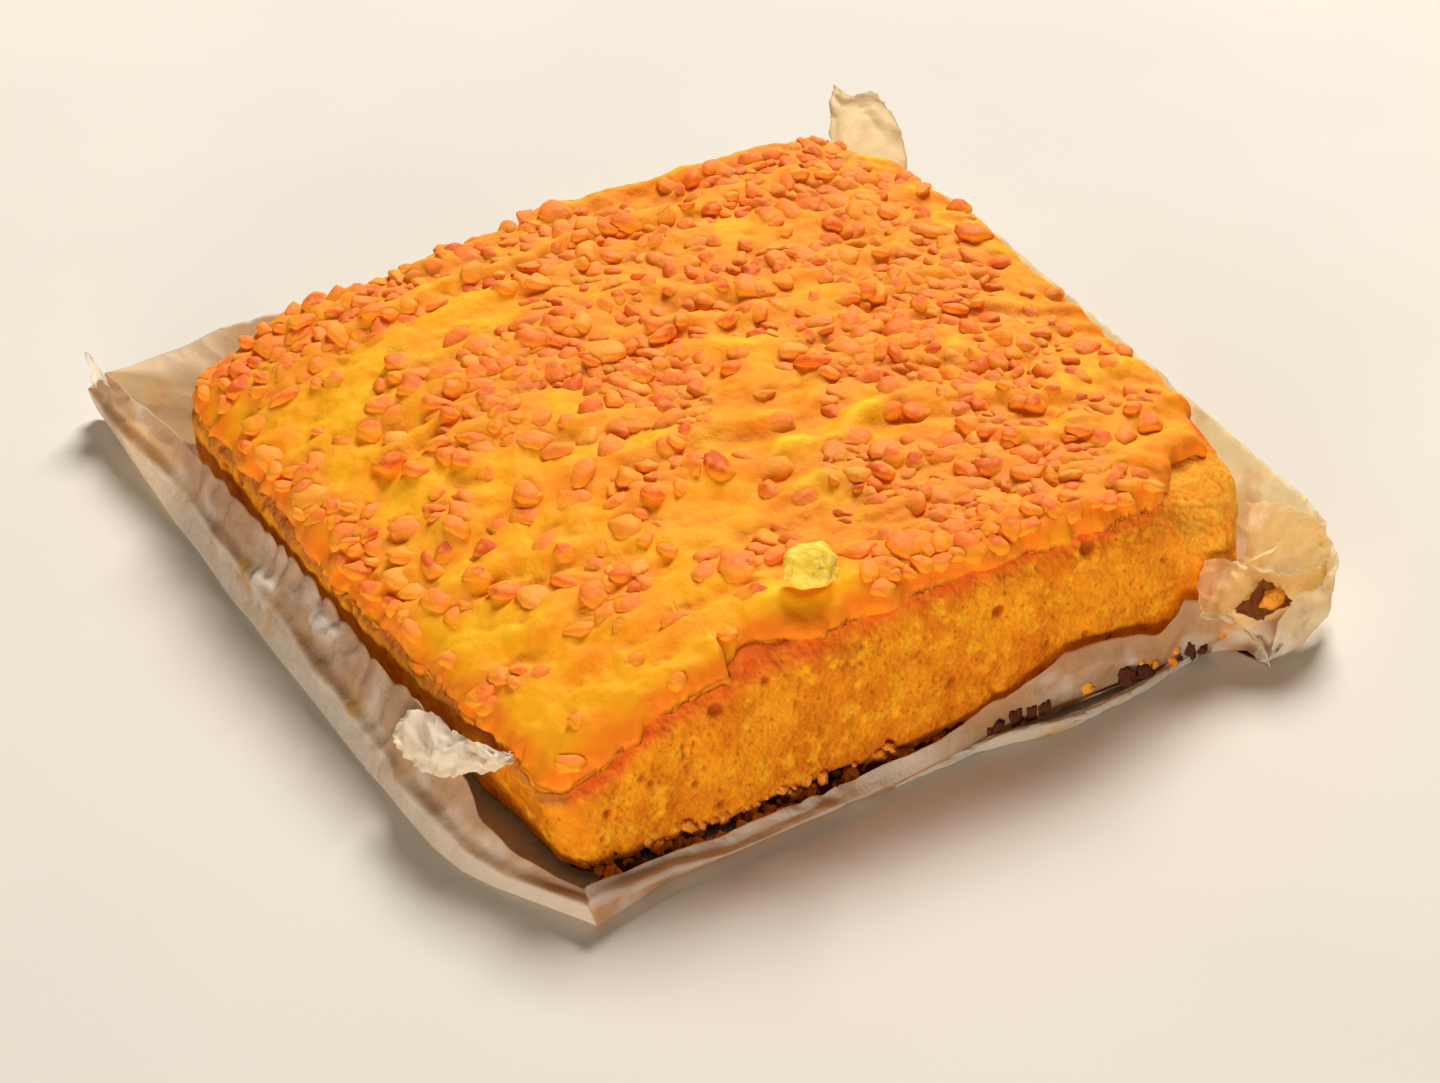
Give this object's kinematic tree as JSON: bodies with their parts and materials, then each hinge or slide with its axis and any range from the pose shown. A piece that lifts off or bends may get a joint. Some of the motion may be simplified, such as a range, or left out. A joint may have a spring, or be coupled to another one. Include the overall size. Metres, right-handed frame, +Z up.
{
  "type": "lemon sheet cake in a paper case",
  "caption": "Rectangular slab of lemon sponge cake with ridged lemon icing and nut nibs, in a crumpled white paper baking case.",
  "frame": {"origin": "on the ground, under the middle of the whole's outer box", "axes": "+Z up, +X along the cut front face to the right, +Y to the back; the picture looks from the front left"},
  "size_m": [0.1292, 0.1356, 0.0335],
  "materials": {
    "sponge": "soft open crumb, browned at the crust and the base",
    "icing": "satin lemon icing spread in ridges, with salmon brown nut nibs",
    "crumb": "rough crumb",
    "paper": "thin crumpled greaseproof paper with grease stains"
  },
  "bodies": {
    "root": {"sponge": "sponge", "icing": "icing", "crumb": "crumb", "paper": "paper"}
  },
  "joints": []
}
